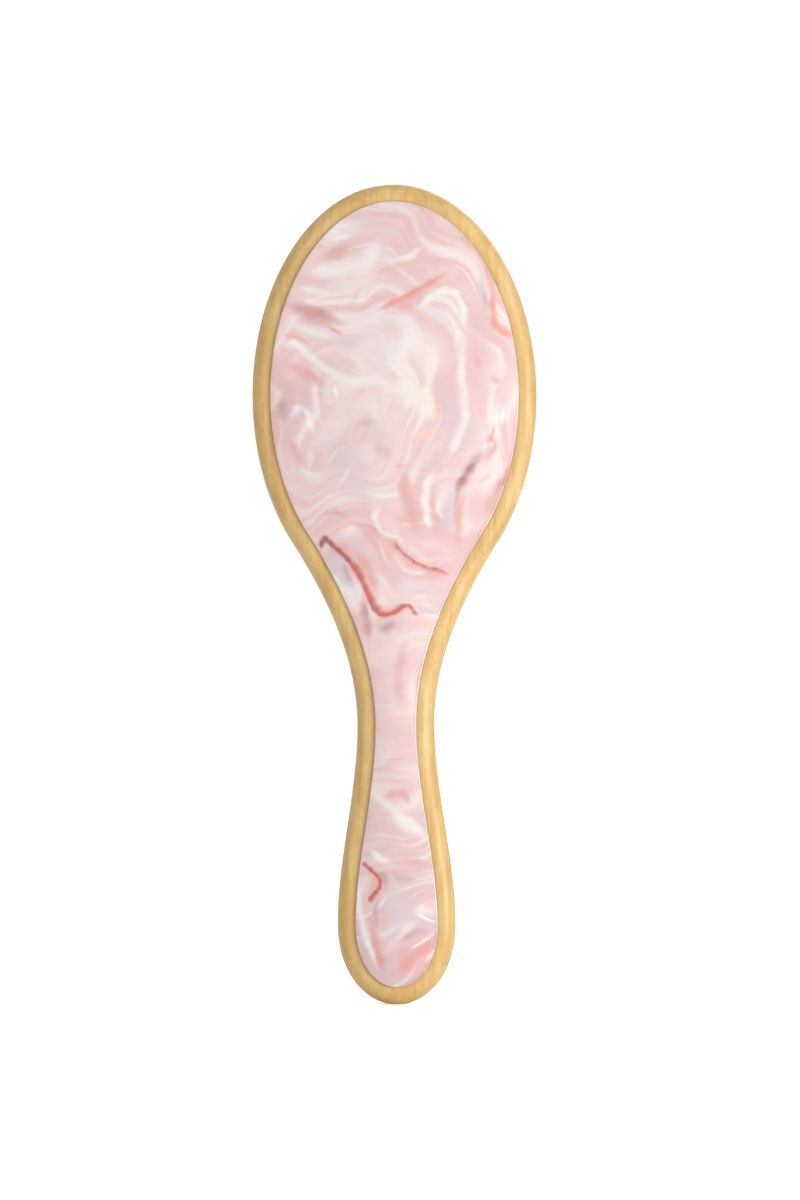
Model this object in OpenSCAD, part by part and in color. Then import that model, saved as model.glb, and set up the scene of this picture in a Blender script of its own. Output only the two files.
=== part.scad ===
// Oval cushion hairbrush: a bamboo body with a marbled sheet let into its back,
// and turned bamboo pins standing in a pneumatic rubber cushion.
//
// Frame: +Z runs up the brush to the crown, +Y points out along the pins, and X is
// the width. The origin is the middle of the grip, on the bamboo's mid-plane.
// Millimetres throughout. Distances named *_at are measured up from the handle's end.

/* [Body] */
// Length from the handle's end to the crown
brush_length = 220; // [205:1:235]
// Width of the oval head
head_width = 76.2; // [74:0.2:84]
// Height of the oval that the head follows
head_height = 113.6; // [108:0.2:120]
// Width at the waist, between head and handle
waist_width = 20.6; // [19:0.2:24]
// Height of the waist
waist_at = 75; // [68:1:80]
// Width of the handle's swell
handle_width = 31.7; // [29:0.1:35]
// Height of the swell's widest point
swell_at = 21.5; // [20:0.5:27]
// Thickness of the bamboo
body_thick = 15; // [14:0.5:17]
// How much thinner the waist is than the head
waist_dip = 2; // [0:0.25:3]
// How much thinner the handle is than the head
handle_dip = 1; // [0:0.25:2]
// Edge radius round the back
back_radius = 4; // [3:0.5:4.5]
// Edge radius round the front
front_radius = 6; // [5:0.5:6.5]
// Height of the grip's middle, which is the origin
grip_at = 45; // [40:1:50]

/* [Back inlay] */
// Bamboo border left round the inlay
border = 4.8; // [4.5:0.1:5.4]
// Thickness of the marbled sheet
inlay_thick = 2.3; // [2:0.1:2.6]
// How far the sheet stands proud of the bamboo
inlay_proud = 1; // [0.6:0.1:1.2]
// Radius polished on to the sheet's edge
inlay_radius = 0.8; // [0.4:0.1:1]
// Thickness of the adhesive film under the sheet
film_thick = 0.2; // [0.1:0.05:0.3]

/* [Cushion] */
// Width of the opening that the cushion fills
cushion_width = 60; // [58:1:62]
// Height of that opening
cushion_height = 90; // [86:1:92]
// Rise of the dome above its shoulder
dome_rise = 7; // [6:0.5:8]
// Thickness of the rubber skin
skin_thick = 1.7; // [1.4:0.1:2]
// Thickness of the canvas under the skin
canvas_thick = 0.6; // [0.4:0.1:0.8]
// Depth of the pocket below the bamboo's front face
pocket_depth = 9; // [8.5:0.1:9.4]

/* [Pins] */
// Spacing of the rows across the brush
row_pitch = 7.2; // [6.8:0.1:7.4]
// Spacing of the pins along a row
pin_pitch = 7.5; // [7.2:0.1:8]
// Length of a pin above the skin
pin_length = 18; // [15:0.5:20]
// Diameter of a pin where it leaves the skin
pin_d = 2.2; // [2:0.1:2.4]
// Diameter of the ball that ends a pin
ball_d = 3; // [2.8:0.1:3.3]

/* [Hidden] */
ROWS = 7;
$fn = 64;

// Outline
end_fullness = 2.06;                      // exponent of the handle's end, 2 being an ellipse
join_angle = -42.6;                       // where the neck leaves the head's oval
head_at = brush_length - head_height / 2; // middle of the head's oval
join_at = head_at + head_height / 2 * sin(join_angle);
join_half = head_width / 2 * cos(join_angle);
join_slope = -head_width / head_height * tan(join_angle);
neck_ease = 1.04;                         // the neck's slope where it joins, 1 being tangent
end_steps = 15;
handle_steps = 12;
neck_steps = 14;
head_steps = 30;

// Levels through the thickness, from the bamboo's mid-plane
front_y = body_thick / 2;
back_y = -body_thick / 2;
edge_steps = 6;
dip_end_at = 110;                         // the front is flat from here up
recess_depth = inlay_thick + film_thick - inlay_proud;
recess_y = back_y + recess_depth;
inlay_gap = 0.1;

// Cushion seat, from the front face inwards
lip_thick = 2.3;
groove_height = 2;
groove_reach = 2.5;
groove_top = front_y - lip_thick;
groove_floor = groove_top - groove_height;
pocket_y = front_y - pocket_depth;
pocket_ease = 1;      // the pocket below the groove is this much smaller than the opening
shoulder_y = front_y - 1;
wall_gap = 0.1;
skin_a = cushion_width / 2 - wall_gap;
skin_b = cushion_height / 2 - wall_gap;
flange_ease = 0.2;
flange_gap = 0.05;
bond_gap = 0.05;
canvas_edge_y = shoulder_y + 1;
canvas_hole_r = 1.85;
vent_d = 1.6;
hole_gap = 0.05;

// Pins
pin_field_a = cushion_width / 2 - 4.4;
pin_field_b = cushion_height / 2 - 6.5;
fan_x = 110;          // the rows spread as if from a line this far behind the skin
fan_z = 220;          // and so do the pins along a row
pin_tip_r = 0.9;
foot_at = 2.6;        // depth of the foot's neck below the skin's outside
foot_cone = 0.8;
foot_rim = 0.6;
foot_r = 2.4;

// ---------------------------------------------------------------- outline functions

// Cubic from value a with slope m to value b with slope n, over a span h
function ease(t, a, m, b, n, h) =
  (2 * pow(t, 3) - 3 * pow(t, 2) + 1) * a + (pow(t, 3) - 2 * pow(t, 2) + t) * h * m
  + (3 * pow(t, 2) - 2 * pow(t, 3)) * b + (pow(t, 3) - pow(t, 2)) * h * n;

function end_point(a) = [
  handle_width / 2 * pow(cos(a), 2 / end_fullness),
  swell_at * (1 - pow(sin(a), 2 / end_fullness))
];
function handle_point(t) = [
  ease(t, handle_width / 2, 0, waist_width / 2, 0, waist_at - swell_at),
  swell_at + t * (waist_at - swell_at)
];
function neck_point(t) = [
  ease(t, waist_width / 2, 0, join_half, neck_ease * join_slope, join_at - waist_at),
  waist_at + t * (join_at - waist_at)
];
function head_point(a) = [head_width / 2 * cos(a), head_at + head_height / 2 * sin(a)];

// How far the front lies below the head's front, at the height s
function dip(s) =
  s < swell_at ? handle_dip
  : s < waist_at ? ease((s - swell_at) / (waist_at - swell_at), handle_dip, 0, waist_dip, 0, 1)
  : s < dip_end_at ? ease((s - waist_at) / (dip_end_at - waist_at), waist_dip, 0, 0, 0, 1)
  : 0;

// The right-hand side, from just beside the handle's end up to just beside the crown
right_side = concat(
  [for (i = [0.5 : end_steps - 0.5]) end_point(90 * (1 - i / end_steps))],
  [for (i = [0 : handle_steps - 1]) handle_point(i / handle_steps)],
  [for (i = [0 : neck_steps - 1]) neck_point(i / neck_steps)],
  [for (i = [0 : head_steps - 1]) head_point(join_angle + (90 - join_angle) * i / (head_steps - 0.5))]
);
n_side = len(right_side);

function mirrored(p) = [-p.x, p.y];
function before(i) = i == 0 ? mirrored(right_side[0]) : right_side[i - 1];
function after(i) = i == n_side - 1 ? mirrored(right_side[n_side - 1]) : right_side[i + 1];
function outward(i) =
  let (along = after(i) - before(i))
  [along.y, -along.x] / norm(along);

// The right-hand side taken in by d, with its heights from the origin
function inset_side(d) = [
  for (i = [0 : n_side - 1]) right_side[i] - d * outward(i) - [0, grip_at]
];
function inset_outline(d) =
  let (side = inset_side(d))
  concat(side, [for (i = [n_side - 1 : -1 : 0]) mirrored(side[i])]);

// ---------------------------------------------------------------- shared modules

// Extrudes its XZ drawing through the thickness, from y0 to y1
module slab(y0, y1) {
  translate([0, y1, 0]) rotate([90, 0, 0]) linear_extrude(y1 - y0) children();
}

// A solid whose outline is taken in by level[0] at y = level[1], which is lowered by
// level[2] times the front's dip
module lofted(levels) {
  n = 2 * n_side;
  last = len(levels) - 1;
  points = [
    for (level = levels) for (p = inset_outline(level[0]))
      [p.x, level[1] - level[2] * dip(p.y + grip_at), p.y]
  ];
  sides = [
    for (k = [0 : last - 1]) for (i = [0 : n - 1])
      let (j = (i + 1) % n)
      [k * n + i, (k + 1) * n + i, (k + 1) * n + j, k * n + j]
  ];
  back = [for (i = [0 : n_side - 2]) [i, i + 1, n - 2 - i, n - 1 - i]];
  front = [for (face = back) [for (m = [3 : -1 : 0]) last * n + face[m]]];
  polyhedron(points, concat(sides, back, front));
}

module oval(a, b) {
  scale([1, b / a]) circle(r = a);
}

// Half of an ellipsoid standing on the shoulder, its poles along Y
module dome(a, b, rise) {
  translate([0, shoulder_y, 0])
    scale([1, rise / a, b / a])
      rotate([90, 0, 0]) sphere(r = a);
}

module above(y) {
  translate([-60, y, -60]) cube([120, 60, 120]);
}

module at_head() {
  translate([0, 0, head_at - grip_at]) children();
}

// ---------------------------------------------------------------- pin field

function row_x(row) = (row - (ROWS + 1) / 2) * row_pitch;
function staggered(row) = (row - (ROWS + 1) / 2) % 2 != 0;
function row_reach(row) = pin_field_b * sqrt(1 - pow(row_x(row) / pin_field_a, 2));
function row_pins(row) =
  let (start = staggered(row) ? 0.5 : 0, most = floor(row_reach(row) / pin_pitch - start))
  [for (k = [-most - 2 * start : most]) (k + start) * pin_pitch];

// Height of the skin's outside over the point (x, z) of the cushion
function skin_y(x, z) = shoulder_y + dome_rise * sqrt(1 - pow(x / skin_a, 2) - pow(z / skin_b, 2));

// Moves its children to a pin's root on the skin, with +Z along the pin
module at_pin(x, z) {
  lean = [x / fan_x, 1, z / fan_z];
  translate([x, skin_y(x, z), z])
    rotate([0, acos(lean.z / norm(lean)), atan2(lean.y, lean.x)])
      children();
}

module at_every_pin() {
  for (row = [1 : ROWS]) for (z = row_pins(row)) at_pin(row_x(row), z) children();
}

module pin() {
  root = foot_at + foot_cone + foot_rim;
  ball_r = ball_d / 2;
  union() {
    translate([0, 0, -root]) cylinder(r = foot_r, h = foot_rim);
    translate([0, 0, -foot_at - foot_cone]) cylinder(r1 = foot_r, r2 = pin_d / 2, h = foot_cone);
    translate([0, 0, -foot_at]) cylinder(r = pin_d / 2, h = foot_at);
    cylinder(r1 = pin_d / 2, r2 = pin_tip_r, h = pin_length - ball_r);
    translate([0, 0, pin_length - ball_r]) sphere(r = ball_r);
  }
}

// ---------------------------------------------------------------- sub-parts

module bamboo_body() {
  levels = concat(
    [for (k = [0 : edge_steps]) let (a = 90 * (1 - k / edge_steps))
      [back_radius * (1 - cos(a)), back_y + back_radius * (1 - sin(a)), 0]],
    [for (k = [0 : edge_steps]) let (a = 90 * k / edge_steps)
      [front_radius * (1 - cos(a)), front_y - front_radius * (1 - sin(a)), 1]]
  );
  opening_a = cushion_width / 2;
  opening_b = cushion_height / 2;
  color([0.86, 0.70, 0.42])
    difference() {
      lofted(levels);
      slab(back_y - 1, recess_y) polygon(inset_outline(border - inlay_gap));
      at_head() {
        slab(pocket_y, front_y + 1) oval(opening_a - pocket_ease, opening_b - pocket_ease);
        slab(groove_top, front_y + 1) oval(opening_a, opening_b);
        slab(groove_floor, groove_top) oval(opening_a + groove_reach, opening_b + groove_reach);
      }
    }
}

module back_inlay() {
  outer_y = back_y - inlay_proud;
  levels = concat(
    [for (k = [0 : edge_steps]) let (a = 90 * (1 - k / edge_steps))
      [border + inlay_radius * (1 - cos(a)), outer_y + inlay_radius * (1 - sin(a)), 0]],
    [[border, outer_y + inlay_thick, 0]]
  );
  color([0.93, 0.80, 0.79]) lofted(levels);
}

module inlay_adhesive() {
  color([0.95, 0.95, 0.92])
    slab(recess_y - film_thick, recess_y) polygon(inset_outline(border + 0.5));
}

module cushion_skin() {
  flange_a = cushion_width / 2 + groove_reach - flange_ease;
  flange_b = cushion_height / 2 + groove_reach - flange_ease;
  color([0.90, 0.74, 0.72])
    at_head()
      difference() {
        union() {
          slab(groove_floor + flange_gap, groove_top - flange_gap) oval(flange_a, flange_b);
          slab(groove_floor + flange_gap, shoulder_y) oval(skin_a, skin_b);
          intersection() {
            dome(skin_a, skin_b, dome_rise);
            above(shoulder_y);
          }
        }
        slab(groove_floor - 1, shoulder_y) oval(skin_a - skin_thick, skin_b - skin_thick);
        intersection() {
          dome(skin_a - skin_thick, skin_b - skin_thick, dome_rise - skin_thick);
          above(shoulder_y - 0.5);
        }
        at_every_pin() cylinder(r = pin_d / 2 + hole_gap, h = 12, center = true);
        translate([0, shoulder_y + dome_rise, -pin_pitch / 2])
          rotate([90, 0, 0]) cylinder(d = vent_d, h = 8, center = true);
      }
}

module cushion_canvas() {
  inner = skin_thick + bond_gap;
  color([0.88, 0.84, 0.76])
    at_head()
      difference() {
        intersection() {
          dome(skin_a - inner, skin_b - inner, dome_rise - inner);
          above(canvas_edge_y);
        }
        dome(skin_a - inner - canvas_thick, skin_b - inner - canvas_thick, dome_rise - inner - canvas_thick);
        at_every_pin() cylinder(r = canvas_hole_r, h = 12, center = true);
        translate([0, shoulder_y + dome_rise, -pin_pitch / 2])
          rotate([90, 0, 0]) cylinder(d = 1.5 * vent_d, h = 12, center = true);
      }
}

module pin_row(row) {
  color([0.87, 0.72, 0.47])
    at_head() for (z = row_pins(row)) at_pin(row_x(row), z) pin();
}

bamboo_body();
back_inlay();
inlay_adhesive();
cushion_skin();
cushion_canvas();
for (row = [1 : ROWS]) pin_row(row);
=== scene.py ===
"""Looks of the cushion hairbrush: bamboo body, marbled back sheet, rubber cushion and pins.

Everything is in metres, in the row frame: +Z up the brush to the crown, +Y out along
the pins, X the width, and the origin at the middle of the grip.
"""

import math

import bmesh
import bpy
import numpy as np
from bpy.props import FloatProperty, FloatVectorProperty, IntProperty, PointerProperty
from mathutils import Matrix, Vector
from mathutils.geometry import tessellate_polygon


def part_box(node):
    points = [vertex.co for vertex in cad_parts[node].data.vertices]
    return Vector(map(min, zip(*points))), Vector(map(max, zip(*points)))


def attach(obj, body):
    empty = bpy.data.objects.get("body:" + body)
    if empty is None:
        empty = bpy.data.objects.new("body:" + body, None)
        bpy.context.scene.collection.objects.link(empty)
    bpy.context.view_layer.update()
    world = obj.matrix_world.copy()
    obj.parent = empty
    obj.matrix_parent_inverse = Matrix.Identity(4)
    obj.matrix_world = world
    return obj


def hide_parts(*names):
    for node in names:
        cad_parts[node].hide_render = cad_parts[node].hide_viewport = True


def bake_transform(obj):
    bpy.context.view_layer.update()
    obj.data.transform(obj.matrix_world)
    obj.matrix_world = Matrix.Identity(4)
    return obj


bl_info = {
    "name": "Cushion hairbrush",
    "version": (1, 0, 0),
    "blender": (4, 5, 0),
    "location": "View3D > Sidebar > Hairbrush",
    "description": "Builds the bamboo, marbled sheet, cushion and pins of a hairbrush",
    "category": "Add Mesh",
}

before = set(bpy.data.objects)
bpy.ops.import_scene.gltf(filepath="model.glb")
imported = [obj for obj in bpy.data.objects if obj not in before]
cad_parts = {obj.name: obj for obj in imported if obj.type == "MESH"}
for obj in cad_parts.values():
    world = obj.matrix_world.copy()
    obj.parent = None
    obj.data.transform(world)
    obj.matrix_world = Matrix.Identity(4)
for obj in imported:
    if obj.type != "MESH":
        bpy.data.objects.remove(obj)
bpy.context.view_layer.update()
BODY_LOW, BODY_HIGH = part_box("bamboo_body")
SHEET_LOW, SHEET_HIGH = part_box("back_inlay")

MM = 0.001
ROWS = 7

# ---------------------------------------------------------------- settings


def length(name, description, default, **more):
    """A length property in metres."""
    return FloatProperty(
        name=name, description=description, default=default, unit="LENGTH", precision=4, **more
    )


def colour(name, description, red, green, blue):
    """A colour property, given as the eye names it, from 0 to 255."""
    return FloatVectorProperty(
        name=name,
        description=description,
        default=linear(red, green, blue)[:3],
        subtype="COLOR",
        min=0.0,
        max=1.0,
    )


def linear(red, green, blue):
    """Scene-linear RGBA of a display colour from 0 to 255."""
    channels = []
    for value in (red, green, blue):
        c = value / 255
        channels.append(c / 12.92 if c <= 0.04045 else ((c + 0.055) / 1.055) ** 2.4)
    return (*channels, 1.0)


class BodySettings(bpy.types.PropertyGroup):
    """Outline and edges of the bamboo body."""

    brush_length: length("Length", "From the handle's end to the crown", 0.220)
    head_width: length("Head width", "Width of the oval head", 0.0762)
    head_height: length("Head height", "Height of the oval that the head follows", 0.1136)
    waist_width: length("Waist width", "Width between head and handle", 0.0206)
    waist_at: length("Waist height", "Height of the waist above the handle's end", 0.075)
    handle_width: length("Handle width", "Width of the handle's swell", 0.0317)
    swell_at: length("Swell height", "Height of the swell's widest point", 0.0215)
    waist_dip: length("Waist dip", "How far the waist's front lies below the head's", 0.002)
    handle_dip: length("Handle dip", "How far the handle's front lies below the head's", 0.001)
    back_radius: length("Back radius", "Edge radius round the back", 0.004)
    front_radius: length("Front radius", "Edge radius round the front", 0.006)
    light_wood: colour("Light wood", "Pale bamboo between the fibres", 233, 198, 130)
    dark_wood: colour("Dark wood", "Honey tone of the denser bamboo", 214, 170, 98)
    fibre: colour("Fibre", "Fine dark fibres and flecks", 176, 124, 58)


class SheetSettings(bpy.types.PropertyGroup):
    """The marbled sheet let into the back."""

    border: length("Border", "Bamboo left round the sheet", 0.0048)
    edge_radius: length("Edge radius", "Radius polished on to the sheet's edge", 0.0005)
    pale: colour("Pale pink", "Ground colour of the marbling", 239, 213, 211)
    blush: colour("Blush", "Cloudier pink of the ground", 233, 198, 196)
    spread: FloatProperty(
        name="Spread", description="How widely the streaks fade out", default=1.4, min=0.5, max=3
    )


class CushionSettings(bpy.types.PropertyGroup):
    """The rubber cushion and the opening that it fills."""

    opening_width: length("Opening width", "Width of the oval opening", 0.060)
    opening_height: length("Opening height", "Height of the oval opening", 0.090)
    dome_rise: length("Dome rise", "Rise of the dome above its shoulder", 0.007)
    skin_thick: length("Skin thickness", "Thickness of the rubber", 0.0017)
    collar_rise: length("Collar rise", "How far the rubber rises round a pin", 0.00045)
    rubber: colour("Rubber", "Colour of the cushion's skin", 229, 190, 184)
    cotton: colour("Cotton", "Colour of the backing canvas", 224, 213, 192)
    film: colour("Film", "Colour of the bonding film", 240, 238, 230)


class PinSettings(bpy.types.PropertyGroup):
    """The pins and how they stand."""

    row_pitch: length("Row pitch", "Spacing of the rows across the brush", 0.0072)
    pin_pitch: length("Pin pitch", "Spacing of the pins along a row", 0.0075)
    pin_length: length("Pin length", "Length of a pin above the skin", 0.018)
    pin_width: length("Pin width", "Diameter where a pin leaves the skin", 0.0022)
    tip_width: length("Tip width", "Diameter where a pin meets its ball", 0.0018)
    ball_width: length("Ball width", "Diameter of the ball that ends a pin", 0.003)
    sides: IntProperty(name="Sides", description="Faces round a pin", default=20, min=8, max=48)


class StageSettings(bpy.types.PropertyGroup):
    """Floor, lights and camera."""

    distance: length("Distance", "From the camera to the brush", 1.6)
    lens: FloatProperty(
        name="Lens", description="Focal length", default=178.5, unit="CAMERA", min=20, max=400
    )
    centre: FloatVectorProperty(
        name="Centre",
        description="Middle of the picture across and up",
        default=(0.00126, 0.0635),
        size=2,
        subtype="XYZ",
        unit="LENGTH",
    )
    roll: FloatProperty(
        name="Roll", description="Turn of the camera", default=math.radians(0.24), subtype="ANGLE"
    )


# ---------------------------------------------------------------- outline


def ease(t, a, m, b, n, span):
    """Cubic from value a with slope m to value b with slope n, over a span."""
    return (
        (2 * t**3 - 3 * t**2 + 1) * a
        + (t**3 - 2 * t**2 + t) * span * m
        + (3 * t**2 - 2 * t**3) * b
        + (t**3 - t**2) * span * n
    )


class Outline:
    """The brush's outline, as heights from the handle's end, mirrored left and right."""

    END_FULLNESS = 2.06
    JOIN_ANGLE = math.radians(-42.6)
    NECK_EASE = 1.04
    DIP_END_AT = 0.110

    def __init__(self, body, steps=(34, 34, 36, 92)):
        self.body = body
        self.head_at = body.brush_length - body.head_height / 2
        self.right = self.right_side(*steps)
        self.outward = [self.normal(i) for i in range(len(self.right))]

    def right_side(self, end_steps, handle_steps, neck_steps, head_steps):
        b = self.body
        head_half = b.head_width / 2
        waist_half = b.waist_width / 2
        swell_half = b.handle_width / 2
        rise = b.head_height / 2
        join_at = self.head_at + rise * math.sin(self.JOIN_ANGLE)
        join_half = head_half * math.cos(self.JOIN_ANGLE)
        join_slope = -b.head_width / b.head_height * math.tan(self.JOIN_ANGLE) * self.NECK_EASE
        points = []
        for i in range(end_steps):
            a = math.pi / 2 * (1 - (i + 0.5) / end_steps)
            across = swell_half * math.cos(a) ** (2 / self.END_FULLNESS)
            points.append((across, b.swell_at * (1 - math.sin(a) ** (2 / self.END_FULLNESS))))
        for i in range(handle_steps):
            t = i / handle_steps
            span = b.waist_at - b.swell_at
            points.append((ease(t, swell_half, 0, waist_half, 0, span), b.swell_at + t * span))
        for i in range(neck_steps):
            t = i / neck_steps
            span = join_at - b.waist_at
            across = ease(t, waist_half, 0, join_half, join_slope, span)
            points.append((across, b.waist_at + t * span))
        for i in range(head_steps):
            a = self.JOIN_ANGLE + (math.pi / 2 - self.JOIN_ANGLE) * i / (head_steps - 0.5)
            points.append((head_half * math.cos(a), self.head_at + rise * math.sin(a)))
        return points

    def normal(self, i):
        """Outward direction at point i of the right-hand side."""
        last = len(self.right) - 1
        first_x, first_s = self.right[0] if i == 0 else self.right[i - 1]
        next_x, next_s = self.right[last] if i == last else self.right[i + 1]
        first_x = -first_x if i == 0 else first_x
        next_x = -next_x if i == last else next_x
        along = (next_x - first_x, next_s - first_s)
        size = math.hypot(*along)
        return along[1] / size, -along[0] / size

    def dip(self, s):
        """How far the front lies below the head's front at height s."""
        b = self.body
        if s < b.swell_at:
            return b.handle_dip
        if s < b.waist_at:
            t = (s - b.swell_at) / (b.waist_at - b.swell_at)
            return ease(t, b.handle_dip, 0, b.waist_dip, 0, 1)
        if s < self.DIP_END_AT:
            t = (s - b.waist_at) / (self.DIP_END_AT - b.waist_at)
            return ease(t, b.waist_dip, 0, 0, 0, 1)
        return 0.0

    def ring(self, inset, y, dipped=0.0):
        """The whole outline taken in by inset, at depth y less a share of the front's dip."""
        half = []
        for (x, s), (nx, ns) in zip(self.right, self.outward):
            px, ps = x - inset * nx, s - inset * ns
            half.append((px, y - dipped * self.dip(ps), ps + BODY_LOW.z))
        return half + [(-x, y, z) for x, y, z in reversed(half)]


# ---------------------------------------------------------------- mesh building


class Draft:
    """Points and faces of one piece while it is being built."""

    def __init__(self):
        self.points = []
        self.faces = []

    def loop(self, points):
        """Adds points and returns their numbers."""
        first = len(self.points)
        self.points.extend(points)
        return list(range(first, len(self.points)))

    def bridge(self, a, b):
        """Joins two closed loops of the same length with quads."""
        for i in range(len(a)):
            j = (i + 1) % len(a)
            self.faces.append((a[i], b[i], b[j], a[j]))

    def stack(self, loops):
        """Adds loops of points one after another, joined, and returns the first and last."""
        numbers = [self.loop(points) for points in loops]
        for a, b in zip(numbers, numbers[1:]):
            self.bridge(a, b)
        return numbers[0], numbers[-1]

    def strips(self, ring, up_to=None):
        """Fills a left-right mirrored ring with strips across it."""
        n = len(ring)
        for i in range(up_to or n // 2 - 1):
            self.faces.append((ring[i], ring[i + 1], ring[n - 2 - i], ring[n - 1 - i]))

    def fan(self, ring, centre):
        """Closes a ring with triangles to one point."""
        (middle,) = self.loop([centre])
        for i in range(len(ring)):
            self.faces.append((ring[i], ring[(i + 1) % len(ring)], middle))

    def fill_around(self, outer, hole):
        """Fills the flat face between an outer loop and a hole."""
        rings = [[Vector((self.points[i][0], self.points[i][2], 0)) for i in r] for r in (outer, hole)]
        numbers = outer + hole
        for triangle in tessellate_polygon(rings):
            self.faces.append(tuple(numbers[i] for i in triangle))

    def piece(self, name, material, sharp_over=35):
        """Makes the object, with smooth shading that breaks at sharp edges."""
        mesh = bpy.data.meshes.new(name)
        mesh.from_pydata([tuple(p) for p in self.points], [], self.faces)
        shape = bmesh.new()
        shape.from_mesh(mesh)
        bmesh.ops.recalc_face_normals(shape, faces=shape.faces)
        shape.to_mesh(mesh)
        shape.free()
        mesh.shade_smooth()
        mesh.set_sharp_from_angle(angle=math.radians(sharp_over))
        mesh.materials.append(material)
        made = bpy.data.objects.new(name, mesh)
        bpy.context.scene.collection.objects.link(made)
        return made


def quarter(steps, radius):
    """(inset, drop) of a rounded edge, from the wall to the flat face."""
    for k in range(steps + 1):
        a = math.pi / 2 * k / steps
        yield radius * (1 - math.cos(a)), radius * (1 - math.sin(a))


def oval(half_width, half_height, y, centre_z, steps=168):
    """An upright ellipse of points at depth y."""
    points = []
    for i in range(steps):
        a = 2 * math.pi * i / steps
        points.append((half_width * math.cos(a), y, centre_z + half_height * math.sin(a)))
    return points


# ---------------------------------------------------------------- material building

# How deep each finish's relief is, in metres, and the canvas's threads, in millimetres.
FIBRE_RELIEF = 0.00006
SHEET_RELIEF = 0.00008
RUBBER_RELIEF = 0.00005
THREAD_RELIEF = 0.0002
AIR_RELIEF = 0.0001
THREAD_PITCH = 0.7


class Wiring:
    """Adds shader nodes to a tree, each with its inputs set or linked."""

    def __init__(self, tree):
        self.tree = tree
        self.count = 0

    def node(self, kind, inputs=None, **settings):
        made = self.tree.nodes.new(kind)
        made.location = (self.count % 12 * 180, -(self.count // 12) * 220)
        self.count += 1
        for key, value in settings.items():
            setattr(made, key, value)
        for key, value in (inputs or {}).items():
            self.feed(made.inputs[key], value)
        return made

    def feed(self, socket, value):
        if isinstance(value, bpy.types.NodeSocket):
            self.tree.links.new(value, socket)
        else:
            socket.default_value = value

    def math(self, operation, a, b=0.0, c=0.0, clamp=False):
        inputs = {0: a, 1: b, 2: c}
        return self.node("ShaderNodeMath", inputs, operation=operation, use_clamp=clamp).outputs[0]

    def vector(self, operation, a, b=(0, 0, 0)):
        return self.node("ShaderNodeVectorMath", {0: a, 1: b}, operation=operation).outputs[0]

    def product(self, a, b):
        made = self.node("ShaderNodeVectorMath", {0: a, 1: b}, operation="DOT_PRODUCT")
        return made.outputs["Value"]

    def mix(self, factor, a, b, blend="MIX"):
        inputs = {0: factor, 6: a, 7: b}
        made = self.node("ShaderNodeMix", inputs, data_type="RGBA", blend_type=blend)
        return made.outputs[2]

    def smooth(self, value, low, high, to_low=0.0, to_high=1.0):
        inputs = {0: value, 1: low, 2: high, 3: to_low, 4: to_high}
        made = self.node("ShaderNodeMapRange", inputs, interpolation_type="SMOOTHSTEP", clamp=False)
        return made.outputs[0]

    def noise(self, point, scale, detail=2.0, roughness=0.5, distortion=0.0, colour=False):
        inputs = {"Vector": point, "Scale": scale, "Detail": detail}
        inputs |= {"Roughness": roughness, "Distortion": distortion}
        return self.node("ShaderNodeTexNoise", inputs).outputs["Color" if colour else "Fac"]

    def stretched(self, point, scale):
        return self.node("ShaderNodeMapping", {"Vector": point, "Scale": scale}).outputs[0]

    def millimetres(self):
        """The point on the piece, in millimetres of the row frame."""
        place = self.node("ShaderNodeTexCoord").outputs["Object"]
        return self.stretched(place, (1 / MM, 1 / MM, 1 / MM))

    def shaded(self, tint, shade):
        """The tint made lighter or darker by a factor."""
        grey = self.node("ShaderNodeCombineColor", {0: shade, 1: shade, 2: shade}).outputs[0]
        return self.mix(1.0, tint, grey, "MULTIPLY")

    def jitter(self, noise, reach):
        """A colour noise as a shift of up to half the reach each way, on the sheet's plane."""
        return self.vector("MULTIPLY", self.vector("SUBTRACT", noise, (0.5, 0.5, 0.5)), (reach, reach, 0))

    def bump(self, height, distance, strength):
        inputs = {"Strength": strength, "Distance": distance, "Height": height}
        return self.node("ShaderNodeBump", inputs).outputs[0]

    def place(self, tree, values):
        """Places a node group, with its inputs set or linked by name."""
        made = self.node("ShaderNodeGroup")
        made.node_tree = tree
        for key, value in values.items():
            self.feed(made.inputs[key], value)
        return made.outputs

    def finish(self, shader, **looks):
        """Feeds the shader's own sockets."""
        for key, value in looks.items():
            self.feed(shader.inputs[key.replace("_", " ")], value)


def group(name, inputs, outputs):
    """A shader node group whose sockets are {name: kind}: (wiring, what comes in, what goes out)."""
    tree = bpy.data.node_groups.new(name, "ShaderNodeTree")
    for way, sockets in (("INPUT", inputs), ("OUTPUT", outputs)):
        for label, kind in sockets.items():
            tree.interface.new_socket(name=label, in_out=way, socket_type=f"NodeSocket{kind}")
    wiring = Wiring(tree)
    return wiring, wiring.node("NodeGroupInput").outputs, wiring.node("NodeGroupOutput").inputs


def material(name, **sockets):
    """A material with a Principled shader whose plain sockets are set: (material, wiring, shader)."""
    made = bpy.data.materials.new(name)
    made.use_nodes = True
    made.node_tree.nodes.clear()
    wiring = Wiring(made.node_tree)
    shader = wiring.node("ShaderNodeBsdfPrincipled")
    wiring.finish(shader, **sockets)
    output = wiring.node("ShaderNodeOutputMaterial")
    made.node_tree.links.new(shader.outputs[0], output.inputs["Surface"])
    return made, wiring, shader


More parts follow.
